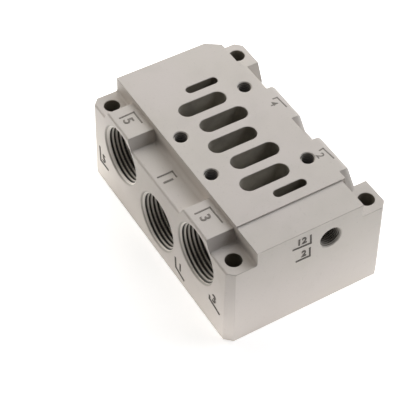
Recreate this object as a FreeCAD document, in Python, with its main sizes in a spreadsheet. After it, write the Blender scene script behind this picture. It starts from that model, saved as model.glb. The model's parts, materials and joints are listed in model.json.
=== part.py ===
"""Valve base plate: a die-cast side-ported sub-base for a five-port pneumatic valve.

The casting is one piece.  Its underside lies on z = 0, +X runs along its length,
+Z is up towards the gasket face, and the three exhaust and supply ports open at the
front, -Y.  Lengths are millimetres and angles are degrees.
"""
import FreeCAD
import Part
import Sketcher

import math
import os

DRIVING_SIZES = {
    # Casting, measured at its underside
    "plate_length": 113.5,
    "plate_height": 48.1,
    "front_reach": 37.9,
    "back_reach": 31.0,
    "lug_reach": 37.3,
    "draft_angle": 1.0,
    "corner_chamfer": 3.2,
    # Ledges either side of the raised gasket band
    "ledge_drop": 7.4,
    "band_front": 24.8,
    "band_back": 25.8,
    "band_far_length": 17.8,
    "band_far_back": 24.6,
    "band_corner_along": 4.4,
    "band_corner_across": 6.2,
    "band_foot_radius": 2.0,
    "lug_foot_radius": 1.0,
    "shelf_length": 16.05,
    "shelf_drop": 0.6,
    "shelf_back": 24.2,
    "front_edge_radius": 0.9,
    # Raised roofs over the two high front ports
    "roof_rise": 4.7,
    "left_roof_width": 17.6,
    "left_roof_x": -32.8,
    "right_roof_width": 18.1,
    "right_roof_x": 29.5,
    "roof_wall_angle": 30.0,
    # Bosses behind the band, flush with it
    "boss_width": 20.1,
    "left_boss_x": -8.4,
    "right_boss_x": 26.4,
    "boss_wall_angle": 41.0,
    "boss_radius": 3.0,
    # Fixing lugs at the four corners
    "lug_width": 20.15,
    "lug_relief_width": 4.1,
    "lug_relief_depth": 9.2,
    "lug_hole_diameter": 7.0,
    "lug_hole_end_inset": 7.75,
    "lug_hole_front_inset": 6.8,
    "lug_hole_back_inset": 6.4,
    # Valve slots in the gasket face
    "slot_width": 7.8,
    "slot_length": 22.2,
    "slot_pitch": 24.0,
    "exhaust_slot_y": -1.55,
    "outlet_slot_y": 1.5,
    "pilot_slot_width": 4.1,
    "pilot_slot_length": 15.2,
    "pilot_slot_x": 34.0,
    "pilot_slot_y": 4.0,
    # Threaded holes for the valve's four screws, at the thread's outside diameter
    "screw_hole_diameter": 6.0,
    "screw_hole_depth": 11.0,
    "screw_hole_chamfer": 0.3,
    "front_screw_spread": 24.0,
    "front_screw_y": -19.0,
    "back_screw_spread": 48.0,
    "back_screw_y": 19.0,
    # Main ports, at the thread's outside diameter
    "port_diameter": 26.44,
    "port_chamfer": 0.6,
    "port_depth": 17.2,
    "supply_port_height": 18.1,
    "exhaust_port_x": 31.0,
    "exhaust_port_drop": 18.5,
    "outlet_port_x": 17.4,
    "outlet_port_drop": 26.1,
    # Passages from the ports to the slots
    "supply_passage_diameter": 13.0,
    "passage_width": 7.8,
    "exhaust_passage_height": 15.0,
    "outlet_passage_height": 14.0,
    # Pilot ports in the two ends
    "pilot_port_diameter": 9.73,
    "pilot_port_chamfer": 0.4,
    "pilot_port_depth": 10.0,
    "pilot_port_y": 9.4,
    "pilot_port_drop": 10.9,
    "pilot_passage_diameter": 4.0,
}

# Places that follow from the driving sizes
END = "Sizes.plate_length / 2"
TOP = "Sizes.plate_height"
ABOVE = "2 * Sizes.plate_height"
LEDGE = "(Sizes.plate_height - Sizes.ledge_drop)"
ROOF = "(Sizes.plate_height - Sizes.ledge_drop + Sizes.roof_rise)"
SHELF = "(Sizes.plate_length / 2 - Sizes.shelf_length)"
LUG_INNER = "(Sizes.plate_length / 2 - Sizes.lug_width)"
LUG_HOLE_X = "(Sizes.plate_length / 2 - Sizes.lug_hole_end_inset)"
LUG_HOLES_Y = (
    "Sizes.lug_hole_front_inset - Sizes.front_reach",
    "Sizes.lug_reach - Sizes.lug_hole_back_inset",
)
EXHAUST_HEIGHT = "(Sizes.plate_height - Sizes.exhaust_port_drop)"
OUTLET_HEIGHT = "(Sizes.plate_height - Sizes.outlet_port_drop)"
PILOT_HEIGHT = "(Sizes.plate_height - Sizes.pilot_port_drop)"
FRONT_FLOOR = "(Sizes.front_reach - Sizes.port_depth)"
BACK_FLOOR = "(Sizes.back_reach - Sizes.port_depth)"
SLOT_END = "(Sizes.slot_length - Sizes.slot_width) / 2"
BOTH_SIDES = ("-", "")

PLANE_ROLES = {"XY": "XY_Plane", "XZ": "XZ_Plane", "YZ": "YZ_Plane"}
# Sketcher's numbers for the origin, and for a line's start and end and a circle's centre
ORIGIN_POINT = (-1, 1)
LINE_START, LINE_END, CENTRE = range(1, 4)
NEAR = 0.05


def make_document():
    """Make the document and the sheet that holds its driving sizes."""
    document = FreeCAD.newDocument("valve_base_plate")
    sheet = document.addObject("Spreadsheet::Sheet", "Sizes")
    for row, (name, value) in enumerate(DRIVING_SIZES.items(), start=1):
        sheet.set(f"A{row}", name)
        sheet.set(f"B{row}", str(value))
        sheet.setAlias(f"B{row}", name)
    document.recompute()
    return document


def bind_point(sketch, geometry, end, place):
    """Hold a point of a sketch at two expressions measured from its origin."""
    for kind, expression in zip(("DistanceX", "DistanceY"), place):
        value = sketch.evalExpression(expression)
        constraint = Sketcher.Constraint(kind, *ORIGIN_POINT, geometry, end, float(value))
        index = sketch.addConstraint(constraint)
        sketch.setExpression(f"Constraints[{index}]", expression)


def bind_size(sketch, kind, geometry, expression):
    """Set a radius or diameter in a sketch from an expression."""
    value = sketch.evalExpression(expression)
    index = sketch.addConstraint(Sketcher.Constraint(kind, geometry, float(value)))
    sketch.setExpression(f"Constraints[{index}]", expression)


def point_at(sketch, place):
    """Work out where a pair of expressions lies now."""
    return FreeCAD.Vector(*[float(sketch.evalExpression(part)) for part in place], 0)


def draw_polygon(sketch, corners):
    """Draw a closed outline through corners given as pairs of expressions."""
    points = [point_at(sketch, corner) for corner in corners]
    lines = [sketch.addGeometry(Part.LineSegment(start, end))
             for start, end in zip(points, points[1:] + points[:1])]
    for line, following in zip(lines, lines[1:] + lines[:1]):
        sketch.addConstraint(Sketcher.Constraint("Coincident", line, LINE_END, following, LINE_START))
    for line, corner in zip(lines, corners):
        bind_point(sketch, line, LINE_START, corner)


def draw_circle(sketch, centre, diameter):
    """Draw a circle from expressions."""
    radius = float(sketch.evalExpression(diameter)) / 2
    circle = Part.Circle(point_at(sketch, centre), FreeCAD.Vector(0, 0, 1), radius)
    drawn = sketch.addGeometry(circle)
    bind_point(sketch, drawn, CENTRE, centre)
    bind_size(sketch, "Diameter", drawn, diameter)


def draw_slot(sketch, centre, width, length):
    """Draw an upright slot with round ends from expressions."""
    across, up = centre
    reach = f"({length} - {width}) / 2"
    centres = [(across, f"{up} + {reach}"), (across, f"{up} - {reach}")]
    upper, lower = [point_at(sketch, place) for place in centres]
    radius = float(sketch.evalExpression(width)) / 2
    side = FreeCAD.Vector(radius, 0, 0)
    crown = FreeCAD.Vector(0, radius, 0)
    top = sketch.addGeometry(Part.Arc(upper + side, upper + crown, upper - side))
    left = sketch.addGeometry(Part.LineSegment(upper - side, lower - side))
    bottom = sketch.addGeometry(Part.Arc(lower - side, lower - crown, lower + side))
    right = sketch.addGeometry(Part.LineSegment(lower + side, upper + side))
    ring = [top, left, bottom, right]
    for piece, following in zip(ring, ring[1:] + ring[:1]):
        sketch.addConstraint(Sketcher.Constraint("Tangent", piece, LINE_END, following, LINE_START))
    bind_point(sketch, top, CENTRE, centres[0])
    bind_point(sketch, bottom, CENTRE, centres[1])
    bind_size(sketch, "Radius", top, f"{width} / 2")


class Casting:
    """A PartDesign body, with short ways to sketch, cut and dress it."""

    def __init__(self, document, name):
        self.document = document
        self.sizes = document.Sizes
        self.body = document.addObject("PartDesign::Body", name)
        self.body.Label = name

    def origin_plane(self, plane):
        """Find the body's own XY, XZ or YZ plane."""
        role = PLANE_ROLES[plane]
        return next(item for item in self.body.Origin.OriginFeatures if item.Role == role)

    def sketch(self, name, plane, offset="0"):
        """Start a sketch on one of the body's own planes, moved along its normal."""
        made = self.body.newObject("Sketcher::SketchObject", name + "_outline")
        made.AttachmentSupport = [(self.origin_plane(plane), "")]
        made.MapMode = "FlatFace"
        made.setExpression("AttachmentOffset.Base.z", offset)
        return made

    def pad(self, name, outline, length):
        """Add material in front of an outline."""
        made = self.body.newObject("PartDesign::Pad", name)
        made.Profile = outline
        made.setExpression("Length", length)
        self.body.Tip = made

    def draft_walls(self, name, angle, left_upright):
        """Lean the upright walls inwards as they rise, so that the casting leaves its mould."""
        self.document.recompute()
        base = self.body.Tip
        faces = enumerate(base.Shape.Faces, start=1)
        walls = [f"Face{number}" for number, face in faces
                 if abs(face.normalAt(0, 0).z) < NEAR and not left_upright(face)]
        made = self.body.newObject("PartDesign::Draft", name)
        made.Base = (base, walls)
        made.NeutralPlane = (self.origin_plane("XY"), [""])
        made.setExpression("Angle", angle)
        self.body.Tip = made

    def pocket(self, name, outline, length=None, forward=False):
        """Cut away behind an outline, or in front of it, to a depth or right through."""
        made = self.body.newObject("PartDesign::Pocket", name)
        made.Profile = outline
        made.Reversed = forward
        if length is None:
            made.Type = "ThroughAll"
        else:
            made.setExpression("Length", length)
        self.body.Tip = made

    def dress(self, kind, name, wanted, sizes):
        """Fillet or chamfer each edge that a test picks out."""
        self.document.recompute()
        base = self.body.Tip
        edges = enumerate(base.Shape.Edges, start=1)
        picked = [f"Edge{number}" for number, edge in edges if wanted(edge)]
        if not picked:
            raise RuntimeError(name + " finds no edge")
        made = self.body.newObject("PartDesign::" + kind, name)
        made.Base = (base, picked)
        for size, expression in sizes.items():
            made.setExpression(size, expression)
        self.body.Tip = made


def add_block(casting):
    """The drafted block, with its corners chamfered and two lugs standing out behind.

    The back face, which is milled flat for the outlet ports, stays upright.
    """
    cut = "Sizes.corner_chamfer"
    front, back, lug = "-Sizes.front_reach", "Sizes.back_reach", "Sizes.lug_reach"
    outline = casting.sketch("block", "XY")
    draw_polygon(outline, [
        (f"-({END}) + {cut}", front),
        (f"{END} - {cut}", front),
        (END, f"{front} + {cut}"),
        (END, f"{lug} - {cut}"),
        (f"{END} - {cut}", lug),
        (LUG_INNER, lug),
        (LUG_INNER, back),
        (f"-{LUG_INNER}", back),
        (f"-{LUG_INNER}", lug),
        (f"-({END}) + {cut}", lug),
        (f"-({END})", f"{lug} - {cut}"),
        (f"-({END})", f"{front} + {cut}"),
    ])
    casting.pad("block", outline, TOP)

    def back_face(face):
        return abs(face.CenterOfMass.y - casting.sizes.back_reach) < NEAR

    casting.draft_walls("mould_draft", "Sizes.draft_angle", back_face)


def cut_front_ledge(casting):
    """The front ledge, left higher where it roofs the exhaust ports."""
    corners = [("-Sizes.plate_length", LEDGE)]
    for roof in ("left_roof", "right_roof"):
        centre = f"Sizes.{roof}_x"
        half = f"Sizes.{roof}_width / 2"
        foot = f"({half} + Sizes.roof_rise * tan(Sizes.roof_wall_angle))"
        corners += [
            (f"{centre} - {foot}", LEDGE),
            (f"{centre} - {half}", ROOF),
            (f"{centre} + {half}", ROOF),
            (f"{centre} + {foot}", LEDGE),
        ]
    corners += [
        ("Sizes.plate_length", LEDGE),
        ("Sizes.plate_length", ABOVE),
        ("-Sizes.plate_length", ABOVE),
    ]
    outline = casting.sketch("front_ledge", "XZ", "Sizes.band_front")
    draw_polygon(outline, corners)
    casting.pocket("front_ledge", outline, forward=True)


def cut_back_ledge(casting):
    """The back ledge, cut as three troughs that leave two bosses, and the lugs' flat tops."""
    half = "Sizes.boss_width / 2"
    foot = f"({half} + Sizes.ledge_drop * tan(Sizes.boss_wall_angle))"
    outline = casting.sketch("back_ledge", "XZ", "-Sizes.band_back")
    draw_polygon(outline, [
        ("-Sizes.plate_length", LEDGE),
        (f"Sizes.left_boss_x - {foot}", LEDGE),
        (f"Sizes.left_boss_x - {half}", TOP),
        (f"Sizes.left_boss_x - {half}", ABOVE),
        ("-Sizes.plate_length", ABOVE),
    ])
    draw_polygon(outline, [
        (f"Sizes.left_boss_x + {foot}", LEDGE),
        (f"Sizes.right_boss_x - {foot}", LEDGE),
        (f"Sizes.right_boss_x - {half}", TOP),
        (f"Sizes.right_boss_x - {half}", ABOVE),
        (f"Sizes.left_boss_x + {half}", ABOVE),
        (f"Sizes.left_boss_x + {half}", TOP),
    ])
    draw_polygon(outline, [
        (f"Sizes.right_boss_x + {foot}", LEDGE),
        ("Sizes.plate_length", LEDGE),
        ("Sizes.plate_length", ABOVE),
        (f"Sizes.right_boss_x + {half}", ABOVE),
        (f"Sizes.right_boss_x + {half}", TOP),
    ])
    casting.pocket("back_ledge", outline)
    lugs = casting.sketch("lug_tops", "XZ", "-Sizes.back_reach")
    draw_polygon(lugs, [
        ("-Sizes.plate_length", LEDGE),
        ("Sizes.plate_length", LEDGE),
        ("Sizes.plate_length", ABOVE),
        ("-Sizes.plate_length", ABOVE),
    ])
    casting.pocket("lug_tops", lugs)


def cut_shelf(casting):
    """The end of the band past the gasket: a little lower, and narrower at the back."""
    far = "Sizes.plate_length"
    shelf = casting.sketch("shelf", "XY", TOP)
    draw_polygon(shelf, [(SHELF, f"-{far}"), (far, f"-{far}"), (far, far), (SHELF, far)])
    casting.pocket("shelf", shelf, "Sizes.shelf_drop")
    notch = casting.sketch("shelf_notch", "XY", TOP)
    draw_polygon(notch, [
        (SHELF, "Sizes.shelf_back"),
        (far, "Sizes.shelf_back"),
        (far, "Sizes.band_back"),
        (SHELF, "Sizes.band_back"),
    ])
    casting.pocket("shelf_notch", notch, "Sizes.ledge_drop")


def trim_far_end(casting):
    """The far end of the band: narrower at the back, with its corner cut off."""
    far = "Sizes.plate_length"
    inner = f"(Sizes.band_far_length - {END})"
    top_end = f"({END} - {TOP} * tan(Sizes.draft_angle))"
    trim = casting.sketch("far_end_trim", "XY", TOP)
    draw_polygon(trim, [
        (inner, "Sizes.band_far_back"),
        (inner, "Sizes.band_back"),
        (f"-{far}", "Sizes.band_back"),
        (f"-{far}", "Sizes.band_far_back - Sizes.band_corner_across"),
        (f"-{top_end}", "Sizes.band_far_back - Sizes.band_corner_across"),
        (f"Sizes.band_corner_along - {top_end}", "Sizes.band_far_back"),
    ])
    casting.pocket("far_end_trim", trim, "Sizes.ledge_drop")


def relieve_lugs(casting):
    """Slope the inner top corner of each back lug, down to the block's back face."""
    inner, outer = LUG_INNER, f"({LUG_INNER} + Sizes.lug_relief_width)"
    outline = casting.sketch("lug_reliefs", "XZ", "-Sizes.back_reach")
    for side in BOTH_SIDES:
        draw_polygon(outline, [
            (side + inner, f"{LEDGE} - Sizes.lug_relief_depth"),
            (side + outer, LEDGE),
            (side + outer, TOP),
            (side + inner, TOP),
        ])
    casting.pocket("lug_reliefs", outline)


def round_edges(casting):
    """Round the bosses' outer edges, the feet of the band and the edge of the front ledge."""
    sizes = casting.sizes
    ledge = sizes.plate_height - sizes.ledge_drop
    lean = sizes.plate_height * math.tan(math.radians(sizes.draft_angle))

    def boss_edge(edge):
        """A boss's edge on the back face: its level top or one of its slanted shoulders."""
        box = edge.BoundBox
        behind = box.YLength < NEAR and abs(box.Center.y - sizes.back_reach) < NEAR
        top = box.ZMax > sizes.plate_height - NEAR
        return behind and top and box.XLength > NEAR

    def foot_edge(edge):
        """An edge where the band rises from the front ledge itself."""
        box = edge.BoundBox
        on_wall = box.YLength < NEAR and abs(box.Center.y + sizes.band_front) < NEAR
        return on_wall and abs(box.ZMin - ledge) < NEAR and box.ZLength < NEAR

    def middle_foot(edge):
        """The foot between the two roofs."""
        return foot_edge(edge) and abs(edge.BoundBox.Center.x) < sizes.right_roof_x

    def lug_foot(edge):
        """The foot over a front lug."""
        return foot_edge(edge) and abs(edge.BoundBox.Center.x) > sizes.right_roof_x

    def front_edge(edge):
        """A level edge where the ledge or a roof meets the front face."""
        box = edge.BoundBox
        level = box.ZMin > ledge - NEAR and box.ZLength < NEAR and box.XLength > NEAR
        return level and box.YMax < lean + NEAR - sizes.front_reach

    casting.dress("Fillet", "boss_rounding", boss_edge, {"Radius": "Sizes.boss_radius"})
    casting.dress("Fillet", "band_foot", middle_foot, {"Radius": "Sizes.band_foot_radius"})
    casting.dress("Fillet", "lug_feet", lug_foot, {"Radius": "Sizes.lug_foot_radius"})
    casting.dress("Fillet", "front_rounding", front_edge, {"Radius": "Sizes.front_edge_radius"})


def cut_valve_slots(casting):
    """The five flow slots and two pilot slots, each as deep as its passage."""
    pitch = "Sizes.slot_pitch"
    supply_floor = "(Sizes.supply_port_height - Sizes.supply_passage_diameter / 2)"
    exhaust_floor = f"({EXHAUST_HEIGHT} - Sizes.exhaust_passage_height / 2)"
    outlet_floor = f"({OUTLET_HEIGHT} - Sizes.outlet_passage_height / 2)"
    pilot_floor = f"({PILOT_HEIGHT} - Sizes.pilot_passage_diameter / 2)"
    groups = {
        "supply_slot": (["0"], "Sizes.exhaust_slot_y", supply_floor),
        "exhaust_slots": ([f"-{pitch}", pitch], "Sizes.exhaust_slot_y", exhaust_floor),
        "outlet_slots": ([f"-{pitch} / 2", f"{pitch} / 2"], "Sizes.outlet_slot_y", outlet_floor),
    }
    for name, (places, along, floor) in groups.items():
        outline = casting.sketch(name, "XY", TOP)
        for across in places:
            draw_slot(outline, (across, along), "Sizes.slot_width", "Sizes.slot_length")
        casting.pocket(name, outline, f"{TOP} - {floor}")
    outline = casting.sketch("pilot_slots", "XY", TOP)
    for side in BOTH_SIDES:
        draw_slot(outline, (side + "Sizes.pilot_slot_x", "Sizes.pilot_slot_y"),
                  "Sizes.pilot_slot_width", "Sizes.pilot_slot_length")
    casting.pocket("pilot_slots", outline, f"{TOP} - {pilot_floor}")


def drill_screw_holes(casting):
    """The valve's four screw holes and the four fixing holes through the lugs."""
    screws = casting.sketch("screw_holes", "XY", TOP)
    for pair in ("front", "back"):
        for side in BOTH_SIDES:
            place = (f"{side}Sizes.{pair}_screw_spread / 2", f"Sizes.{pair}_screw_y")
            draw_circle(screws, place, "Sizes.screw_hole_diameter")
    casting.pocket("screw_holes", screws, "Sizes.screw_hole_depth")
    lugs = casting.sketch("lug_holes", "XY", TOP)
    for along in LUG_HOLES_Y:
        for side in BOTH_SIDES:
            draw_circle(lugs, (side + LUG_HOLE_X, along), "Sizes.lug_hole_diameter")
    casting.pocket("lug_holes", lugs)


def bore_front_ports(casting):
    """The supply port, low in the middle, and the two high exhaust ports."""
    outline = casting.sketch("front_ports", "XZ", "Sizes.front_reach")
    draw_circle(outline, ("0", "Sizes.supply_port_height"), "Sizes.port_diameter")
    for side in BOTH_SIDES:
        draw_circle(outline, (side + "Sizes.exhaust_port_x", EXHAUST_HEIGHT), "Sizes.port_diameter")
    casting.pocket("front_ports", outline, "Sizes.port_depth")
    outline = casting.sketch("front_passages", "XZ", FRONT_FLOOR)
    draw_circle(outline, ("0", "Sizes.supply_port_height"), "Sizes.supply_passage_diameter")
    for side in BOTH_SIDES:
        draw_slot(outline, (side + "Sizes.slot_pitch", EXHAUST_HEIGHT), "Sizes.passage_width",
                  "Sizes.exhaust_passage_height")
    casting.pocket("front_passages", outline, f"{FRONT_FLOOR} + Sizes.exhaust_slot_y - {SLOT_END}")


def bore_back_ports(casting):
    """The two outlet ports in the back face."""
    outline = casting.sketch("back_ports", "XZ", "-Sizes.back_reach")
    for side in BOTH_SIDES:
        draw_circle(outline, (side + "Sizes.outlet_port_x", OUTLET_HEIGHT), "Sizes.port_diameter")
    casting.pocket("back_ports", outline, "Sizes.port_depth", forward=True)
    outline = casting.sketch("back_passages", "XZ", f"-{BACK_FLOOR}")
    for side in BOTH_SIDES:
        draw_slot(outline, (f"{side}Sizes.slot_pitch / 2", OUTLET_HEIGHT), "Sizes.passage_width",
                  "Sizes.outlet_passage_height")
    run = f"{BACK_FLOOR} - Sizes.outlet_slot_y - {SLOT_END}"
    casting.pocket("back_passages", outline, run, forward=True)


def bore_pilot_ports(casting):
    """A small port in each end, with its drilling to the pilot slot."""
    place = ("Sizes.pilot_port_y", PILOT_HEIGHT)
    for name, side, forward in (("right", "", False), ("left", "-", True)):
        port = casting.sketch(name + "_pilot_port", "YZ", side + END)
        draw_circle(port, place, "Sizes.pilot_port_diameter")
        casting.pocket(name + "_pilot_port", port, "Sizes.pilot_port_depth", forward)
        passage = casting.sketch(name + "_pilot_passage", "YZ", side + END)
        draw_circle(passage, place, "Sizes.pilot_passage_diameter")
        casting.pocket(name + "_pilot_passage", passage, f"{END} - Sizes.pilot_slot_x", forward)


def chamfer_mouths(casting):
    """Break the mouth of each threaded hole."""
    sizes = casting.sizes
    lean = sizes.plate_height * math.tan(math.radians(sizes.draft_angle))

    def mouth(diameter):
        """Make a test for round edges as wide as a hole, on the outside of the casting."""
        def wanted(edge):
            box = edge.BoundBox
            width = max(box.XLength, box.YLength, box.ZLength)
            outside = (
                abs(box.Center.x) > sizes.plate_length / 2 - lean
                or box.Center.y < lean - sizes.front_reach
                or box.Center.y > sizes.back_reach - NEAR
                or box.ZMax > sizes.plate_height - NEAR
            )
            return edge.isClosed() and abs(width - diameter) < NEAR and outside
        return wanted

    for name in ("port", "pilot_port", "screw_hole"):
        size = name + "_chamfer"
        diameter = getattr(sizes, name + "_diameter")
        casting.dress("Chamfer", name + "_mouths", mouth(diameter), {"Size": "Sizes." + size})


def check(document, body):
    """Stop if any object failed or the casting isn't one sound solid."""
    document.recompute()
    for item in document.Objects:
        if "Invalid" in item.State or "Error" in item.State:
            raise RuntimeError(item.Name + " failed: " + ", ".join(item.State))
    shape = body.Shape
    if shape.isNull() or not shape.isValid() or len(shape.Solids) != 1:
        raise RuntimeError(body.Label + " is not one valid solid")


def main():
    document = make_document()
    casting = Casting(document, "base_plate")
    add_block(casting)
    cut_front_ledge(casting)
    cut_back_ledge(casting)
    cut_shelf(casting)
    trim_far_end(casting)
    relieve_lugs(casting)
    round_edges(casting)
    cut_valve_slots(casting)
    drill_screw_holes(casting)
    bore_front_ports(casting)
    bore_back_ports(casting)
    bore_pilot_ports(casting)
    chamfer_mouths(casting)
    check(document, casting.body)
    shape = casting.body.Shape
    os.makedirs("parts", exist_ok=True)
    shape.exportStep(f"parts/{casting.body.Label}.step")
    box = shape.BoundBox
    print(f"{casting.body.Label}: {len(shape.Faces)} faces, volume {shape.Volume:.0f} mm3,"
          f" box {box.XLength:.2f} x {box.YLength:.2f} x {box.ZLength:.2f} mm")


main()
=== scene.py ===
"""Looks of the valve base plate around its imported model.

The casting itself is the CAD node.  This script gives it its painted surface, and adds
what is too fine for the solid: the cut threads in the ports and screw holes, and the
raised port numbers.  Lengths are metres, in the model's own frame: the underside is on
z = 0, +X runs along the plate, and the supply and exhaust ports open towards -Y.
"""
import json
import math
from collections import namedtuple

import bmesh
import bpy
from mathutils import Matrix, Vector

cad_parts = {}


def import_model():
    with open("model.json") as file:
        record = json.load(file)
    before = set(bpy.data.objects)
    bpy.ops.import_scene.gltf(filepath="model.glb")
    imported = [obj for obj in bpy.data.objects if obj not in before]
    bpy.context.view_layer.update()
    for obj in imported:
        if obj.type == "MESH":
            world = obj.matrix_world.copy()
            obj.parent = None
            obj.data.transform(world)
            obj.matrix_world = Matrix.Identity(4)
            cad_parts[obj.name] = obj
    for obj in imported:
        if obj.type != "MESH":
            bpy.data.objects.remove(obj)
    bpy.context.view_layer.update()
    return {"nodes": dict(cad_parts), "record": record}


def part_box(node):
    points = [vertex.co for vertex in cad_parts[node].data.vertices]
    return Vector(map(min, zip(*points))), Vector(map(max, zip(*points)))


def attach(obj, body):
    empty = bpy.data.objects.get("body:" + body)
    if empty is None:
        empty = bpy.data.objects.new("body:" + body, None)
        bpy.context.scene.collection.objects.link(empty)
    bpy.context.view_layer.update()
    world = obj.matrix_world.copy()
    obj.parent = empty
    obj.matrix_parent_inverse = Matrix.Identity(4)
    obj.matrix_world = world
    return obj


MM = 0.001

# The plate's own names and sizes
PLATE_NODE = "base_plate"
BODY = "root"
DRAFT = math.radians(1.0)
SCREW_HOLE_DEPTH = 11 * MM
ROOF_RISE = 4.7 * MM

# Masks: half the field of slots, how far below the painted faces it ends, where the passages
# turn darker with painted shade, the width of the rings round the ports, and how softly the masks end
SLOT_FIELD = (37.2 * MM, 22.3 * MM)
SKIN = 0.5 * MM
PASSAGE_SHADE_START = 30 * MM
CHAMFER_RING = 0.35 * MM
MASK_SOFTNESS = 0.3 * MM
HOLE_MARGIN = 0.1 * MM
BEYOND_PLATE = 1.0

# Noise patterns: scale, detail and roughness
CLOUD = (22.0, 2.0, 0.5)
PATCH = (75.0, 3.0, 0.6)
SPECK = (900.0, 2.0, 0.5)
GRAIN = (1500.0, 3.0, 0.6)
CAST_SKIN = (260.0, 2.0, 0.5)
STREAK = (700.0, 2.0, 0.5)
DIRT_AND_SHADE = (1200.0, 3.0, 0.5)

# Ramps: the range of a pattern that counts, and for some of them the range that it gives
CLOUD_RAMP = (0.35, 0.65)
PATCH_RAMP = (0.45, 0.75, 0.0, 0.35)
SPECK_RAMP = (0.62, 0.75, 0.0, 0.25)
METAL_RAMP = (0.35, 0.7)
DIRT_AND_SHADE_RAMP = (0.35, 0.7)
PAINT_ROUGHNESS = (0.3, 0.8, 0.46, 0.56)

# Bumps: distance and strength
GRAIN_BUMP = (0.02 * MM, 0.6)
SKIN_BUMP = (0.05 * MM, 0.5)
STREAK_BUMP = (0.02 * MM, 0.4)
EDGE_ROUNDING = 0.4 * MM
EDGE_SAMPLES = 4

# Colours, as the 0 to 255 values that they show as
CLOUD_COLOURS = ((204, 197, 189), (206, 198, 192))
PATCH_COLOUR = (196, 190, 182)
SPECK_COLOUR = (176, 169, 161)
METAL_COLOURS = ((172, 167, 157), (142, 137, 128))
# Painted shade: the bare metal of the narrow pilot slots, darker as if less light reached in
OUTER_PASSAGE_SHADE_COLOUR = (128, 122, 112)
METAL_WARMTH = (3, -3, -11)
# Partly painted shade: the machined port rings get a grey darker than the paint, for the chamfer's
# shaded side
SHADED_CHAMFER_GREY = 186
FLOOR_COLOUR = (250, 250, 250)
WHITE = (1.0, 1.0, 1.0, 1.0)

# Threads: radii, pitch, the mouth's countersink, and the mesh's columns round and rows in a pitch
Thread = namedtuple("Thread", "outside inside pitch countersink columns rows")
MAIN_PORT = Thread(13.22 * MM, 12.06 * MM, 1.814 * MM, 0.6 * MM, 120, 12)
PILOT_PORT = Thread(4.865 * MM, 4.283 * MM, 0.907 * MM, 0.4 * MM, 64, 10)
VALVE_SCREW = Thread(3.0 * MM, 2.46 * MM, 1.0 * MM, 0.3 * MM, 48, 8)

# Each thread's metal, with the greys of its countersink, crest and root; the dark roots are painted
# shade, and the main ports' near-white countersink is a painted highlight
THREAD_METALS_AND_SHADE = {
    MAIN_PORT: ("main_port_thread", 240, 222, 44),
    PILOT_PORT: ("pilot_port_thread", 150, 150, 96),
    VALVE_SCREW: ("valve_screw_thread", 186, 96, 44),
}

# How far a port's thread is moved along it, in pitches
THREAD_PHASES = {"left_exhaust_port": 0.52, "supply_port": 0.32, "right_exhaust_port": 0.18}

# Sleeves: how far the root stays off the hole's wall and the back lies in it, the turns that are
# made past each end and cut off, and the merging distance
ROOT_CLEARANCE = 0.05 * MM
SLEEVE_DEPTH = 0.1 * MM
SPARE_TURNS = 2
MERGE_DISTANCE = 1e-7

# The groove value is 0 at a crest, 1 at a root and this on a countersink
ON_COUNTERSINK = -1.0
# Painted shade: the part of the groove value over which a thread turns from its crest grey to its dark
# root grey
GROOVE_SHADE_RAMP = (0.1, 0.75)
COUNTERSINK_RAMP = (0.8 * ON_COUNTERSINK, 0.2 * ON_COUNTERSINK, 1.0, 0.0)

# Port numbers: relief, stroke, greys of painted shade and dirt, darker on the end and front, and how
# the bars narrow and the digits thicken
MARK_RELIEF = 0.18 * MM
PRINTED_RELIEF = 0.03 * MM
FAINT_STROKE = 0.75 * MM
DARK_STROKE = 1.0 * MM
FRONT_STROKE = 1.3 * MM
# Painted shade and dirt: the marks' greys, faint on the roofs, ledge and bosses and darker on the end
# and front faces
FAINT_DIRT_AND_SHADE = 104
DARK_DIRT_AND_SHADE = 66
MARK_MOTTLE = 22
MARK_TAPER = 0.7
DIGIT_GROWTH = 0.09 * MM
DIGIT_SIZE = 6.2
SMALL_DIGIT_SIZE = 4.8

# Marks: places are in millimetres along the face's right and up directions
Face = namedtuple("Face", "origin right up relief stroke paint")
Mark = namedtuple("Mark", "name face digits place bracket size")
MARKS = (
    Mark("left_roof", "roof", "5", (-34.9, -33.6),
         ((-36.5, -34.0), (-36.8, -27.2), (-29.8, -27.3)), DIGIT_SIZE),
    Mark("right_roof", "roof", "3", (27.0, -33.5),
         ((24.8, -33.9), (24.7, -27.2), (33.7, -27.0)), DIGIT_SIZE),
    Mark("floor", "ledge", "1", (-1.0, -34.2),
         ((-3.2, -34.8), (-3.3, -28.1), (0.2, -28.1)), DIGIT_SIZE),
    Mark("left_boss", "boss", "4", (-10.4, 22.6),
         ((-11.8, 25.5), (-11.7, 27.4), (-5.1, 27.75)), SMALL_DIGIT_SIZE),
    Mark("right_boss", "boss", "2", (24.2, 22.6),
         ((22.9, 25.5), (22.6, 27.4), (29.2, 28.0)), SMALL_DIGIT_SIZE),
    Mark("end_upper", "end", "12", (-7.0, 41.4),
         ((-8.3, 40.1), (-0.2, 39.6), (-0.5, 44.2)), SMALL_DIGIT_SIZE),
    Mark("end_lower", "end", "2", (-4.4, 33.6),
         ((-6.4, 32.1), (-0.2, 32.0), (-0.5, 36.7)), SMALL_DIGIT_SIZE),
    Mark("front_left", "front", "5", (-47.9, 12.0),
         ((-49.9, 18.3), (-49.5, 10.5), (-43.0, 10.4)), DIGIT_SIZE),
    Mark("front_middle", "front", "1", (17.9, 7.0),
         ((15.5, 11.2), (16.0, 5.9), (22.3, 4.1)), DIGIT_SIZE),
    Mark("front_right", "front", "3", (44.4, 15.2),
         ((42.6, 15.7), (42.6, 14.2), (49.9, 12.4)), DIGIT_SIZE),
)

# Camera, whose lens and sensor are in millimetres
CAMERA_PLACE = Vector((0.33608, -0.21901, 0.45645))
CAMERA_AZIMUTH = math.radians(-31.03)
CAMERA_ELEVATION = math.radians(48.05)
CAMERA_ROLL = math.radians(0.45)
CAMERA_LENS = 126.59
CAMERA_SENSOR = 36.0

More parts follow.
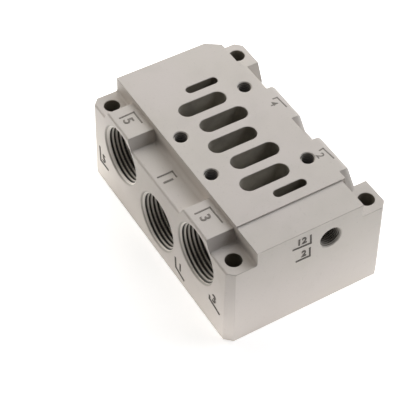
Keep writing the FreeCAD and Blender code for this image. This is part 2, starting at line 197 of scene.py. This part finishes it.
# Lamps: watts, the way from the plate to the lamp, and colour
WORLD_LIGHT = 0.01
LAMP_DISTANCE = 0.9
LAMP_SIZE = 0.8
NEUTRAL_LIGHT = (0.98, 1.0, 1.04)
WARM_LIGHT = (1.0, 0.965, 0.91)
LAMPS = {
    "back_lamp": (2.8, (-0.45, 0.45, 0.77), NEUTRAL_LIGHT),
    "west_lamp": (3.4, (-1.0, 0.0, 0.8), WARM_LIGHT),
    "low_lamp": (3.1, (-0.8, -0.6, 0.2), WARM_LIGHT),
    "rear_lamp": (4.2, (0.2, 0.8, 0.6), NEUTRAL_LIGHT),
}

# Floor: pools of light that it throws on the plate's sides, and its glow towards the camera.
# A pool is so many times wider along X, and fades from its inner to its outer radius.
FLOOR_REACH = 3.0
FLOOR_DROP = 0.02 * MM
Pool = namedtuple("Pool", "strength centre width inner outer")
POOLS = (
    Pool(1.35, (0.10, 0.02, 0.0), 1.0, 0.04, 0.12),
    Pool(3.6, (-0.085, -0.065, 0.0), 1.0, 0.01, 0.06),
    Pool(1.5, (0.075, -0.07, 0.0), 1.0, 0.01, 0.05),
    Pool(1.2, (0.0, -0.047, 0.0), 8.0, 0.003, 0.012),
)
POOL_TINT = (1.0, 0.99, 0.97, 1.0)
FLOOR_SEEN_GLOW = 0.6


def srgb(red, green, blue):
    """A colour for a shader from the 0 to 255 values that it shows as."""
    def linear(value):
        value /= 255
        return value / 12.92 if value <= 0.04045 else ((value + 0.055) / 1.055) ** 2.4
    return (linear(red), linear(green), linear(blue), 1.0)


def warm_grey(level):
    """A grey a little warmer than neutral, for bare casting metal and for the painted shade of threads,
    rings and marks.
    """
    return srgb(*(level + shift for shift in METAL_WARMTH))


# Materials

class Shader:
    """A material's node tree, with short ways to add and join nodes."""

    def __init__(self, name):
        self.material = bpy.data.materials.new(name)
        self.material.use_nodes = True
        self.tree = self.material.node_tree
        self.surface = self.tree.nodes["Principled BSDF"]

    def add(self, kind, **settings):
        node = self.tree.nodes.new(kind)
        for name, value in settings.items():
            setattr(node, name, value)
        return node

    def feed(self, socket, value):
        """Join an output to a socket, or set the socket to a plain value."""
        if isinstance(value, bpy.types.NodeSocket):
            self.tree.links.new(value, socket)
        elif value is not None:
            socket.default_value = value

    def paint(self, **values):
        """Set the surface's own sockets, named with _ for a space."""
        for name, value in values.items():
            self.feed(self.surface.inputs[name.replace("_", " ")], value)

    def math(self, operation, first, second=None):
        node = self.add("ShaderNodeMath", operation=operation)
        self.feed(node.inputs[0], first)
        self.feed(node.inputs[1], second)
        return node.outputs[0]

    def vector(self, operation, first, second, result="Vector"):
        node = self.add("ShaderNodeVectorMath", operation=operation)
        self.feed(node.inputs[0], first)
        self.feed(node.inputs[1], second)
        return node.outputs[result]

    def split(self, where):
        """The X, Y and Z of a place."""
        node = self.add("ShaderNodeSeparateXYZ")
        self.feed(node.inputs[0], where)
        return node.outputs

    def ramp(self, value, low, high, from_value=0.0, to_value=1.0):
        """Turn the range low..high of a value smoothly into another range."""
        node = self.add("ShaderNodeMapRange", interpolation_type="SMOOTHSTEP")
        numbers = (value, low, high, from_value, to_value)
        for name, number in zip(("Value", "From Min", "From Max", "To Min", "To Max"), numbers):
            self.feed(node.inputs[name], number)
        return node.outputs["Result"]

    def mix(self, factor, first, second):
        """Mix two colours."""
        node = self.add("ShaderNodeMixRGB")
        for socket, value in zip(node.inputs, (factor, first, second)):
            self.feed(socket, value)
        return node.outputs[0]

    def noise(self, where, pattern):
        """A noise of one of the patterns named above."""
        node = self.add("ShaderNodeTexNoise")
        for name, value in zip(("Vector", "Scale", "Detail", "Roughness"), (where, *pattern)):
            self.feed(node.inputs[name], value)
        return node.outputs["Fac"]

    def object_place(self):
        return self.add("ShaderNodeTexCoord").outputs["Object"]

    def bump(self, height, distance, strength, normal=None):
        node = self.add("ShaderNodeBump")
        self.feed(node.inputs["Strength"], strength)
        self.feed(node.inputs["Distance"], distance)
        self.feed(node.inputs["Height"], height)
        self.feed(node.inputs["Normal"], normal)
        return node.outputs["Normal"]

    def union(self, masks):
        """The largest of several masks."""
        result = masks[0]
        for mask in masks[1:]:
            result = self.math("MAXIMUM", result, mask)
        return result


def inside_box(shader, where, low, high):
    """A mask that is 1 inside a box of the plate's frame and fades to 0 round it."""
    parts = shader.split(where)
    mask = None
    for axis, start, end in zip("XYZ", low, high):
        enter = shader.ramp(parts[axis], start - MASK_SOFTNESS, start)
        leave = shader.ramp(parts[axis], end, end + MASK_SOFTNESS, 1.0, 0.0)
        for side in (enter, leave):
            mask = side if mask is None else shader.math("MULTIPLY", mask, side)
    return mask


def inside_hole(shader, where, centre, axis, radius, low, high):
    """A mask that is 1 inside a round hole along one axis, between two places on that axis."""
    across = Vector([0.0 if abs(part) > 0.5 else 1.0 for part in axis])
    flat = shader.vector("MULTIPLY", where, across)
    distance = shader.vector("DISTANCE", flat, Vector(centre) * across, "Value")
    within = shader.ramp(distance, radius + HOLE_MARGIN, radius + 2 * HOLE_MARGIN, 1.0, 0.0)
    box_low = [-BEYOND_PLATE if part else low for part in across]
    box_high = [BEYOND_PLATE if part else high for part in across]
    return shader.math("MULTIPLY", within, inside_box(shader, where, box_low, box_high))


def pattern_places(mount):
    """The hole centres of a bolt pattern of one row, or of two rows."""
    dims, centre = mount["dims"], Vector(mount["pos_m"])
    rows = [Vector((0, 0, 0))]
    if "spacing_y_mm" in dims:
        rows = [Vector((0, side * dims["spacing_y_mm"] * MM / 2, 0)) for side in (-1, 1)]
    half = Vector((dims["spacing_x_mm"] * MM / 2, 0, 0))
    return [centre + row + side * half for row in rows for side in (-1, 1)]


def in_passages(shader, where, mounts, top):
    """A mask of the slots with their passages, the pilot ports and the lug holes."""
    reach_x, reach_y = SLOT_FIELD
    masks = [inside_box(shader, where, (-reach_x, -reach_y, SKIN), (reach_x, reach_y, top - SKIN))]
    for name in ("left_pilot_port", "right_pilot_port"):
        mount = mounts[name]
        x, half = mount["pos_m"][0], mount["dims"]["length_mm"] * MM / 2
        deepest = math.copysign(reach_x, x)
        mouth = x + math.copysign(half - MASK_SOFTNESS, x)
        limits = sorted((deepest, mouth))
        radius = mount["dims"]["r_mm"] * MM
        masks.append(inside_hole(shader, where, mount["pos_m"], mount["axis"], radius, *limits))
    fixing = mounts["fixing_holes"]
    radius = fixing["dims"]["hole_r_mm"] * MM
    for place in pattern_places(fixing):
        masks.append(inside_hole(shader, where, place, (0, 0, 1), radius, SKIN, place.z - SKIN))
    return shader.union(masks)


def on_port_rings(shader, where, mounts):
    """A mask of the machined rings round the mouths of the main ports, whose darker grey is partly
    painted shade.
    """
    masks = []
    for mount in mounts.values():
        if mount["kind"] == "threaded_hole" and abs(mount["axis"][1]) > 0.5:
            centre, reach = mount["pos_m"], mount["dims"]["length_mm"] * MM
            radius = mount["dims"]["r_mm"] * MM + CHAMFER_RING
            limits = (centre[1] - reach, centre[1] + reach)
            masks.append(inside_hole(shader, where, centre, mount["axis"], radius, *limits))
    return shader.union(masks)


def passage_metal_with_shade(shader, where, patch):
    """The patchy bare metal of the passages, with painted shade that makes it darker near the plate's
    ends, in the pilot slots.
    """
    light, dark = METAL_COLOURS
    metal = shader.mix(shader.ramp(patch, *METAL_RAMP), srgb(*light), srgb(*dark))
    # Painted shade: beyond this distance along X, in the pilot slots, the metal turns darker
    sideways = shader.math("ABSOLUTE", shader.split(where)["X"])
    outer = shader.ramp(sideways, PASSAGE_SHADE_START, PASSAGE_SHADE_START + MASK_SOFTNESS)
    return shader.mix(outer, metal, srgb(*OUTER_PASSAGE_SHADE_COLOUR))


def casting_paint(mounts, top):
    """Satin warm grey paint on a fine cast skin, and the darker bare metal of the passages, with
    painted shade in the pilot slots and on the port rings.
    """
    shader = Shader("painted_casting")
    where = shader.object_place()
    patch = shader.noise(where, PATCH)
    clouds = shader.ramp(shader.noise(where, CLOUD), *CLOUD_RAMP)
    specks = shader.ramp(shader.noise(where, SPECK), *SPECK_RAMP)
    first, second = CLOUD_COLOURS
    paint = shader.mix(clouds, srgb(*first), srgb(*second))
    paint = shader.mix(shader.ramp(patch, *PATCH_RAMP), paint, srgb(*PATCH_COLOUR))
    paint = shader.mix(specks, paint, srgb(*SPECK_COLOUR))
    # Painted shade in part: the machined rings round the main ports turn darker than the paint
    paint = shader.mix(on_port_rings(shader, where, mounts), paint, warm_grey(SHADED_CHAMFER_GREY))
    metal = passage_metal_with_shade(shader, where, patch)
    colour = shader.mix(in_passages(shader, where, mounts, top), paint, metal)

    edges = shader.add("ShaderNodeBevel", samples=EDGE_SAMPLES)
    shader.feed(edges.inputs["Radius"], EDGE_ROUNDING)
    grained = shader.bump(shader.noise(where, GRAIN), *GRAIN_BUMP, edges.outputs["Normal"])
    skin = shader.bump(shader.noise(where, CAST_SKIN), *SKIN_BUMP, grained)
    shader.paint(Base_Color=colour, Roughness=shader.ramp(patch, *PAINT_ROUGHNESS),
                 Specular_IOR_Level=0.35, Normal=skin)
    return shader.material


def shaded_thread_metal(name, countersink, crest, root):
    """Cut thread: a countersink, crests and roots, each with its own grey; the darker roots are painted
    shade, and a light countersink is a painted highlight.
    """
    shader = Shader(name)
    streak = shader.noise(shader.object_place(), STREAK)
    groove = shader.add("ShaderNodeAttribute", attribute_name="groove").outputs["Fac"]
    # Painted shade: the roots darker than the crests
    colour = shader.mix(shader.ramp(groove, *GROOVE_SHADE_RAMP), warm_grey(crest), warm_grey(root))
    # Painted highlight where the countersink's grey is light
    colour = shader.mix(shader.ramp(groove, *COUNTERSINK_RAMP), colour, warm_grey(countersink))
    shader.paint(Base_Color=colour, Roughness=0.45, Specular_IOR_Level=0.4,
                 Normal=shader.bump(streak, *STREAK_BUMP))
    return shader.material


def mark_dirt_and_shade(name, level):
    """The port numbers' grey: partly painted shade of their relief and partly the dirt that they hold,
    made uneven by a noise.
    """
    shader = Shader(name)
    dirt_and_shade = shader.ramp(shader.noise(shader.object_place(), DIRT_AND_SHADE), *DIRT_AND_SHADE_RAMP)
    # Painted shade and dirt: a grey far darker than the plate's paint, mottled lighter by the noise
    colour = shader.mix(dirt_and_shade, warm_grey(level), warm_grey(level + MARK_MOTTLE))
    shader.paint(Base_Color=colour, Roughness=0.6)
    return shader.material


# Pieces

def new_object(name, data):
    """An object of the scene that shows some data."""
    made = bpy.data.objects.new(name, data)
    bpy.context.scene.collection.objects.link(made)
    return made


def mesh_data(name, mesh):
    """Turn an edited mesh into an object's data."""
    data = bpy.data.meshes.new(name)
    mesh.to_mesh(data)
    mesh.free()
    return data


def add_piece(name, data, placement, material):
    """Put a piece on the plate, with the material that it is given."""
    data.materials.append(material)
    piece = new_object(name, data)
    piece.matrix_world = placement
    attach(piece, BODY)


# Threads

def facing(place, into, up):
    """A placement at a hole's mouth: local +Z into the hole, local +X upwards on its face."""
    turned = Matrix((up, into.cross(up), into)).transposed().to_4x4()
    return Matrix.Translation(place) @ turned


def thread_grid(mesh, thread, length, mouth_lean, phase):
    """Rings of points along a screw thread, each ring one turn of it."""
    groove = mesh.verts.layers.float.new("groove")
    root = thread.outside - ROOT_CLEARANCE
    depth = root - thread.inside
    rows = int(length / thread.pitch * thread.rows)
    spare = SPARE_TURNS * thread.rows
    grid = []
    for row in range(-spare, rows + spare + 1):
        wave = 0.5 + 0.5 * math.cos(2 * math.pi * row / thread.rows)
        cut = thread.inside + depth * wave
        ring = []
        for column in range(thread.columns):
            angle = 2 * math.pi * column / thread.columns
            along = (row / thread.rows + column / thread.columns + phase) * thread.pitch
            face = math.cos(angle) * thread.outside * math.tan(mouth_lean)
            countersink = thread.outside + thread.countersink - (along - face)
            radius = min(root, max(cut, countersink))
            point = mesh.verts.new((radius * math.cos(angle), radius * math.sin(angle), along))
            point[groove] = ON_COUNTERSINK if countersink > cut else wave
            ring.append(point)
        grid.append(ring)
    return grid


def skin_thread(mesh, grid, thread):
    """Faces between a thread's rings, whose last column runs on into the next turn's first."""
    last = thread.columns - 1
    for index in range(len(grid) - 1):
        for column in range(last):
            mesh.faces.new((grid[index][column], grid[index][column + 1],
                            grid[index + 1][column + 1], grid[index + 1][column]))
        if index + 1 + thread.rows < len(grid):
            mesh.faces.new((grid[index][last], grid[index + thread.rows][0],
                            grid[index + 1 + thread.rows][0], grid[index + 1][last]))


def thread_sleeve(name, thread, placement, length, mouth_lean, phase, material):
    """A cut thread as a thin closed sleeve, which starts at the hole's mouth and runs along +Z."""
    mesh = bmesh.new()
    skin_thread(mesh, thread_grid(mesh, thread, length, mouth_lean, phase), thread)
    mouth = Vector((math.sin(mouth_lean), 0, -math.cos(mouth_lean)))
    inwards = Vector((0, 0, 1))
    for place, way in ((inwards * thread.countersink, mouth), (inwards * length, inwards)):
        everything = mesh.verts[:] + mesh.edges[:] + mesh.faces[:]
        bmesh.ops.bisect_plane(mesh, geom=everything, plane_co=place, plane_no=way, clear_outer=True)
    bmesh.ops.remove_doubles(mesh, verts=mesh.verts[:], dist=MERGE_DISTANCE)
    rim = [edge for edge in mesh.edges if edge.is_boundary]
    grown = bmesh.ops.extrude_edge_only(mesh, edges=rim)["geom"]
    for vertex in [item for item in grown if isinstance(item, bmesh.types.BMVert)]:
        flat = Vector((vertex.co.x, vertex.co.y, 0)).normalized() * (thread.outside + SLEEVE_DEPTH)
        vertex.co.x, vertex.co.y = flat.x, flat.y
    outer = [item for item in grown if isinstance(item, bmesh.types.BMEdge) and item.is_boundary]
    bmesh.ops.bridge_loops(mesh, edges=outer)
    bmesh.ops.recalc_face_normals(mesh, faces=mesh.faces[:])
    data = mesh_data(name, mesh)
    data.polygons.foreach_set("use_smooth", [True] * len(data.polygons))
    add_piece(name, data, placement, material)


def cut_threads(mounts):
    """A thread in each main port, pilot port and valve screw hole."""
    metals = {thread: shaded_thread_metal(*settings) for thread, settings in THREAD_METALS_AND_SHADE.items()}
    up, along = Vector((0, 0, 1)), Vector((1, 0, 0))
    for name, mount in mounts.items():
        if mount["kind"] != "threaded_hole":
            continue
        thread = PILOT_PORT if "pilot" in name else MAIN_PORT
        outwards = Vector(mount["axis"])
        wall = mount["dims"]["length_mm"] * MM
        place = Vector(mount["pos_m"]) + outwards * (wall / 2 + thread.countersink)
        lean = 0.0 if outwards.y > 0 else DRAFT
        thread_sleeve(name + "_thread", thread, facing(place, -outwards, up),
                      wall + thread.countersink, lean, THREAD_PHASES.get(name, 0.0), metals[thread])
    for pattern in ("front_valve_screws", "back_valve_screws"):
        for side, place in zip(("left", "right"), pattern_places(mounts[pattern])):
            thread_sleeve(f"{side}_{pattern}_thread", VALVE_SCREW, facing(place, -up, along),
                          SCREW_HOLE_DEPTH - ROOT_CLEARANCE, 0.0, 0.0, metals[VALVE_SCREW])


# Port numbers

def add_bar(mesh, start, end, relief, stroke):
    """A thin bar between two points of a mark's face, narrower at its top."""
    start, end = Vector((*start, 0)), Vector((*end, 0))
    along = (end - start).normalized() * stroke / 2
    across = Vector((-along.y, along.x, 0))
    levels = []
    for height, width in ((-relief, 1.0), (relief, MARK_TAPER)):
        lift = Vector((0, 0, height))
        corners = (start - (along + across) * width, end + (along - across) * width,
                   end + (along + across) * width, start - (along - across) * width)
        levels.append([mesh.verts.new(corner + lift) for corner in corners])
    low, high = levels
    mesh.faces.new(reversed(low))
    mesh.faces.new(high)
    for index in range(4):
        following = (index + 1) % 4
        mesh.faces.new((low[index], low[following], high[following], high[index]))


def mark_faces(mounts, box_low, box_high):
    """The plate's marked faces, with the relief, stroke and the painted shade and dirt of the marks on
    them.
    """
    ledge = mounts["fixing_holes"]["pos_m"][2]
    right, away, up = Vector((1, 0, 0)), Vector((0, 1, 0)), Vector((0, 0, 1))
    lean = math.tan(DRAFT)
    up_the_end = (up - right * lean).normalized()
    up_the_front = (up + away * lean).normalized()
    # Painted shade and dirt: faint greys on the roofs, ledge and bosses, darker ones on the end and
    # front
    faint, dark = mark_dirt_and_shade("faint_mark", FAINT_DIRT_AND_SHADE), mark_dirt_and_shade("dark_mark", DARK_DIRT_AND_SHADE)
    return {
        "ledge": Face(up * ledge, right, away, MARK_RELIEF, FAINT_STROKE, faint),
        "roof": Face(up * (ledge + ROOF_RISE), right, away, MARK_RELIEF, FAINT_STROKE, faint),
        "boss": Face(up * box_high.z, right, away, PRINTED_RELIEF, FAINT_STROKE, faint),
        "end": Face(right * box_high.x, away, up_the_end, MARK_RELIEF, DARK_STROKE, dark),
        "front": Face(away * box_low.y, right, up_the_front, MARK_RELIEF, FRONT_STROKE, dark),
    }


def add_mark(mark, face):
    """A number in the angle of a bracket."""
    turned = Matrix((face.right, face.up, face.right.cross(face.up))).transposed().to_4x4()
    placement = Matrix.Translation(face.origin) @ turned
    mesh = bmesh.new()
    corners = [(x * MM, y * MM) for x, y in mark.bracket]
    for start, end in zip(corners, corners[1:]):
        add_bar(mesh, start, end, face.relief, face.stroke)
    bracket = mark.name + "_bracket"
    add_piece(bracket, mesh_data(bracket, mesh), placement, face.paint)

    number = mark.name + "_number"
    text = bpy.data.curves.new(number, "FONT")
    text.body = mark.digits
    text.size = mark.size * MM
    text.extrude = face.relief
    text.offset = DIGIT_GROWTH
    x, y = mark.place
    add_piece(number, text, placement @ Matrix.Translation((x * MM, y * MM, 0)), face.paint)


# Stage

def add_camera():
    data = bpy.data.cameras.new("camera")
    data.lens = CAMERA_LENS
    data.sensor_width = CAMERA_SENSOR
    data.sensor_fit = "HORIZONTAL"
    camera = new_object("camera", data)
    level = math.cos(CAMERA_ELEVATION)
    back = Vector((
        level * math.cos(CAMERA_AZIMUTH),
        level * math.sin(CAMERA_AZIMUTH),
        math.sin(CAMERA_ELEVATION),
    ))
    turn = back.to_track_quat("Z", "Y").to_matrix().to_4x4()
    camera.matrix_world = Matrix.Translation(CAMERA_PLACE) @ turn @ Matrix.Rotation(CAMERA_ROLL, 4, "Z")
    bpy.context.scene.camera = camera


def seen_directly(nodes, links):
    """1 where the camera or a reflection looks at the surface, 0 where light falls from it."""
    path = nodes.new("ShaderNodeLightPath")
    seen = nodes.new("ShaderNodeMath")
    seen.operation = "MAXIMUM"
    links.new(path.outputs["Is Camera Ray"], seen.inputs[0])
    links.new(path.outputs["Is Glossy Ray"], seen.inputs[1])
    return seen.outputs[0]


def floor_paper():
    """Pale paper that shows white to the camera and lights the plate from its pools."""
    shader = Shader("floor_paper")
    where = shader.object_place()
    glow = None
    for pool in POOLS:
        squeeze = Vector((1 / pool.width, 1.0, 1.0))
        squeezed = shader.vector("MULTIPLY", where, squeeze)
        distance = shader.vector("DISTANCE", squeezed, Vector(pool.centre) * squeeze, "Value")
        light = shader.ramp(distance, pool.inner, pool.outer, pool.strength, 0.0)
        glow = light if glow is None else shader.math("ADD", glow, light)
    seen = seen_directly(shader.tree.nodes, shader.tree.links)
    strength = shader.add("ShaderNodeMix")
    for name, value in zip(("Factor", "A", "B"), (seen, glow, FLOOR_SEEN_GLOW)):
        shader.feed(strength.inputs[name], value)
    shader.paint(Base_Color=srgb(*FLOOR_COLOUR), Roughness=0.9, Specular_IOR_Level=0.0,
                 Emission_Color=shader.mix(seen, POOL_TINT, WHITE),
                 Emission_Strength=strength.outputs["Result"])
    return shader.material


def add_floor():
    """A wide floor just under the plate, which keeps the plate's soft shadow."""
    far = FLOOR_REACH
    corners = [(-far, -far, 0), (far, -far, 0), (far, far, 0), (-far, far, 0)]
    data = bpy.data.meshes.new("floor")
    data.from_pydata(corners, [], [(0, 1, 2, 3)])
    data.materials.append(floor_paper())
    floor = new_object("floor", data)
    floor.location.z = -FLOOR_DROP


def add_lamp(name, watts, way, colour):
    """A soft round lamp that faces the plate."""
    data = bpy.data.lights.new(name, "AREA")
    data.energy = watts
    data.color = colour
    data.shape = "DISK"
    data.size = LAMP_SIZE
    lamp = new_object(name, data)
    way = Vector(way).normalized()
    turn = way.to_track_quat("Z", "Y").to_matrix().to_4x4()
    lamp.matrix_world = Matrix.Translation(way * LAMP_DISTANCE) @ turn
    lamp.visible_camera = False


def add_world():
    """A white surrounding to look at, which gives the plate only a little light."""
    world = bpy.data.worlds.new("studio")
    world.use_nodes = True
    bpy.context.scene.world = world
    nodes, links = world.node_tree.nodes, world.node_tree.links
    backdrop = nodes["Background"]
    backdrop.inputs["Color"].default_value = WHITE
    strength = nodes.new("ShaderNodeMapRange")
    strength.inputs["To Min"].default_value = WORLD_LIGHT
    strength.inputs["To Max"].default_value = 1.0
    links.new(seen_directly(nodes, links), strength.inputs["Value"])
    links.new(strength.outputs["Result"], backdrop.inputs["Strength"])


def main():
    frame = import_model()
    box_low, box_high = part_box(PLATE_NODE)
    mounts = {mount["name"]: mount for mount in frame["record"]["mounts"]}

    plate = frame["nodes"][PLATE_NODE]
    plate.data.materials.clear()
    plate.data.materials.append(casting_paint(mounts, box_high.z))
    cut_threads(mounts)
    faces = mark_faces(mounts, box_low, box_high)
    for mark in MARKS:
        add_mark(mark, faces[mark.face])

    add_camera()
    add_floor()
    for name, settings in LAMPS.items():
        add_lamp(name, *settings)
    add_world()
    bpy.context.scene.view_settings.view_transform = "Standard"


main()
